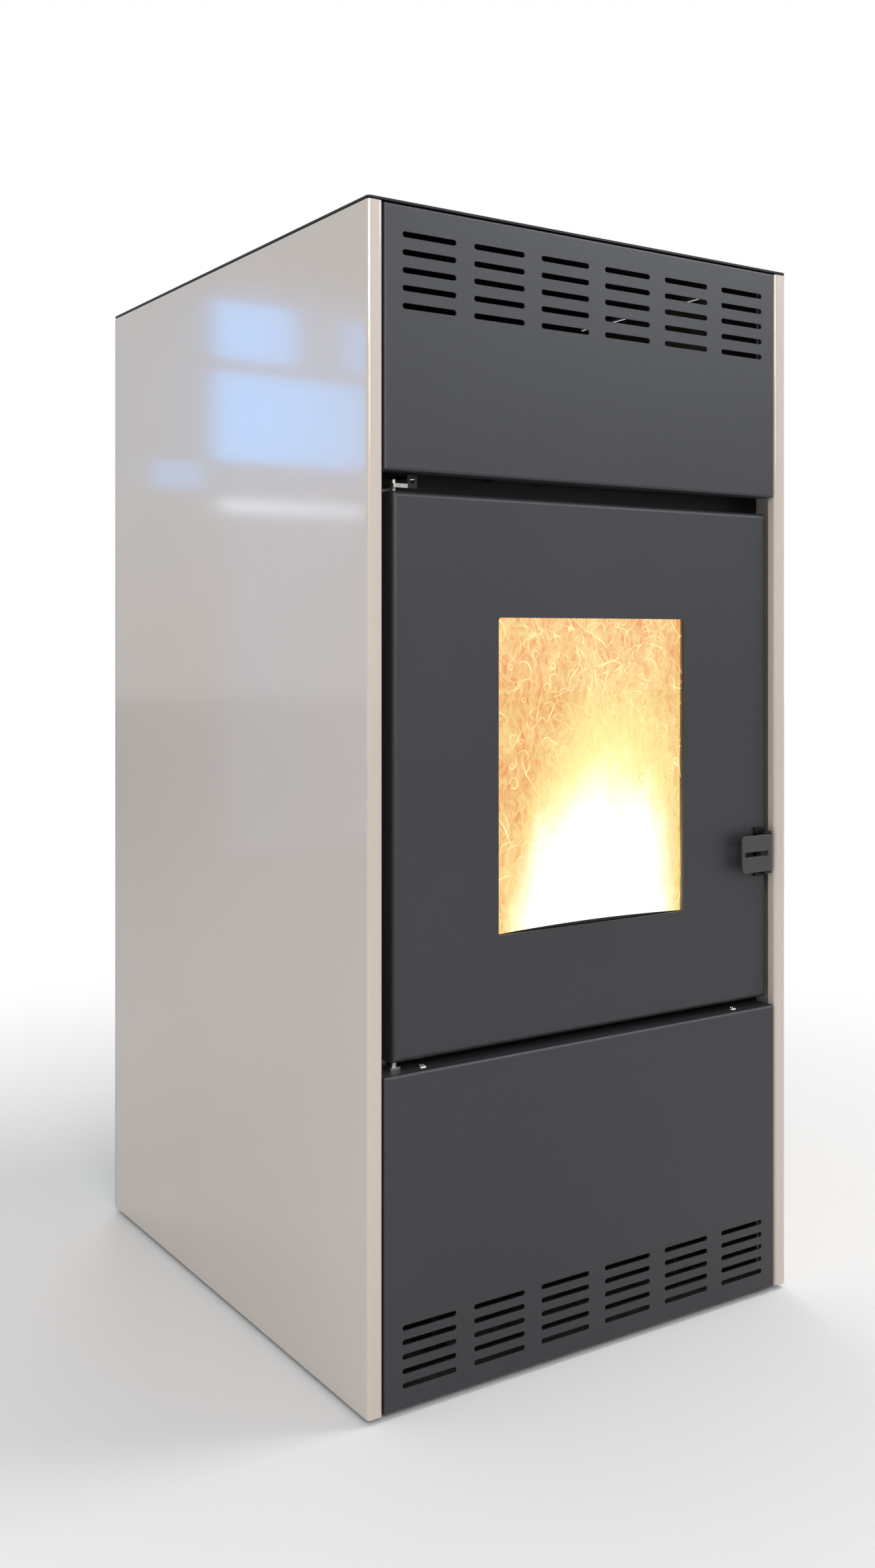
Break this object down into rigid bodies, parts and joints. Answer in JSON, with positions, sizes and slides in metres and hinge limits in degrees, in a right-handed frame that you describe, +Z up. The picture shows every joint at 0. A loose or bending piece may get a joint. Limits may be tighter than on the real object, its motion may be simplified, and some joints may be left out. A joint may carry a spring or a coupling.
{
  "type": "pellet stove",
  "caption": "Freestanding pellet stove with glossy side panels, hinged glass fire door, slotted front panels, hopper lid and rear flue stub.",
  "frame": {"origin": "on the floor, under the centre of the whole outline (casing, rear stubs and latch grip)", "axes": "+X to the right seen from the front, +Y from the front to the rear, +Z up"},
  "size_m": [0.5, 0.63, 1.075],
  "materials": {
    "side_enamel": "glossy pearl beige enamel",
    "front_paint": "fine textured charcoal stove paint, satin",
    "black_paint": "satin black stove paint",
    "galvanised_sheet": "galvanised sheet with faint spangle",
    "firebox_steel": "matt heat resistant paint on welded steel",
    "zinc_plate": "bright zinc plating",
    "latch_steel": "charcoal stove paint on bent steel, satin",
    "stove_glass": "clear glass ceramic with a faint smoke film",
    "glass_fibre": "knitted glass fibre",
    "cast_iron": "as cast, sooty",
    "fireboard": "pressed vermiculite board, sooty",
    "rotor_steel": "plain steel",
    "motor_can": "black motor can with end turnings",
    "heater_steel": "heat tinted stainless tube",
    "black_plastic": "fine textured moulding",
    "button_plastic": "grey satin caps",
    "display_lens": "glossy dark lens",
    "circuit_board": "green circuit board",
    "seal_rubber": "soft silicone"
  },
  "bodies": {
    "cabinet": {"left_side_panel": "side_enamel", "right_side_panel": "side_enamel", "base_plate": "galvanised_sheet", "levelling_feet": "zinc_plate", "front_frame": "black_paint", "panel_screws": "zinc_plate", "upper_front_panel": "front_paint", "lower_front_panel": "front_paint", "upper_hinge": "zinc_plate", "lower_hinge": "zinc_plate", "firebox": "firebox_steel", "flue_box": "firebox_steel", "side_liners": "fireboard", "back_liner": "fireboard", "baffle_plate": "cast_iron", "pot_holder": "firebox_steel", "igniter": "heater_steel", "exchanger_tubes": "firebox_steel", "air_duct": "galvanised_sheet", "room_fan_housing": "galvanised_sheet", "room_fan_motor": "motor_can", "smoke_fan_housing": "galvanised_sheet", "smoke_fan_motor": "motor_can", "exhaust_outlet": "firebox_steel", "air_intake_pipe": "firebox_steel", "hopper": "galvanised_sheet", "hopper_grille": "zinc_plate", "auger_tube": "firebox_steel", "auger_gearmotor": "motor_can", "pellet_chute": "firebox_steel", "top_cover": "black_paint", "control_panel": "black_plastic", "display_window": "display_lens", "display_board": "circuit_board", "control_unit": "black_plastic", "power_inlet": "black_plastic", "thermostat_cap": "black_plastic", "rear_panel": "galvanised_sheet"},
    "door": {"fire_door": "front_paint", "door_glass": "stove_glass", "glass_gasket": "glass_fibre", "glass_retainer": "black_paint", "glass_screws": "zinc_plate", "door_inner_plate": "black_paint", "door_rope_seal": "glass_fibre", "latch_bracket": "black_paint"},
    "latch": {"latch_lever": "latch_steel"},
    "lid": {"hopper_lid": "black_paint", "lid_seal": "seal_rubber", "lid_knob": "black_plastic"},
    "auger": {"auger_screw": "rotor_steel"},
    "smoke_fan": {"smoke_fan_impeller": "rotor_steel"},
    "room_fan": {"room_fan_impeller": "rotor_steel"},
    "pot": {"burn_pot": "cast_iron"},
    "drawer": {"ash_drawer": "zinc_plate"},
    "power_key": {"power_button": "button_plastic"},
    "set_key": {"set_button": "button_plastic"},
    "minus_key": {"minus_button": "button_plastic"},
    "plus_key": {"plus_button": "button_plastic"},
    "mains_switch": {"switch_rocker": "black_plastic"}
  },
  "joints": [
    {"name": "door_hinge", "type": "hinge", "parent": "cabinet", "child": "door", "pos_m": [-0.213, -0.292, 0.545], "axis": [0, 0, -1], "range_deg": [0, 110]},
    {"name": "door_latch", "type": "hinge", "parent": "door", "child": "latch", "pos_m": [0.2245, -0.3075, 0.4505], "axis": [0, 0, 1], "range_deg": [-6, 35]},
    {"name": "lid_hinge", "type": "hinge", "parent": "cabinet", "child": "lid", "pos_m": [0, 0.261, 1.052], "axis": [-1, 0, 0], "range_deg": [0, 85]},
    {"name": "auger_spin", "type": "hinge", "parent": "cabinet", "child": "auger", "pos_m": [0.006, 0.182, 0.453], "axis": [0, -0.7071, 0.7071], "continuous": true},
    {"name": "smoke_fan_spin", "type": "hinge", "parent": "cabinet", "child": "smoke_fan", "pos_m": [0.085, 0.105, 0.17], "axis": [1, 0, 0], "continuous": true},
    {"name": "room_fan_spin", "type": "hinge", "parent": "cabinet", "child": "room_fan", "pos_m": [-0.13, 0.1, 0.135], "axis": [1, 0, 0], "continuous": true},
    {"name": "pot_lift", "type": "slide", "parent": "cabinet", "child": "pot", "axis": [0, 0, 1], "range_m": [0, 0.04]},
    {"name": "drawer_slide", "type": "slide", "parent": "cabinet", "child": "drawer", "axis": [0, -1, 0], "range_m": [0, 0.025]},
    {"name": "power_press", "type": "slide", "parent": "cabinet", "child": "power_key", "axis": [0, 0, -1], "range_m": [0, 0.0012], "stiffness_N_per_m": 400},
    {"name": "set_press", "type": "slide", "parent": "cabinet", "child": "set_key", "axis": [0, 0, -1], "range_m": [0, 0.0012], "stiffness_N_per_m": 400},
    {"name": "minus_press", "type": "slide", "parent": "cabinet", "child": "minus_key", "axis": [0, 0, -1], "range_m": [0, 0.0012], "stiffness_N_per_m": 400},
    {"name": "plus_press", "type": "slide", "parent": "cabinet", "child": "plus_key", "axis": [0, 0, -1], "range_m": [0, 0.0012], "stiffness_N_per_m": 400},
    {"name": "mains_rocker", "type": "hinge", "parent": "cabinet", "child": "mains_switch", "pos_m": [0.185, 0.268, 0.1014], "axis": [1, 0, 0], "range_deg": [-16, 0]}
  ]
}
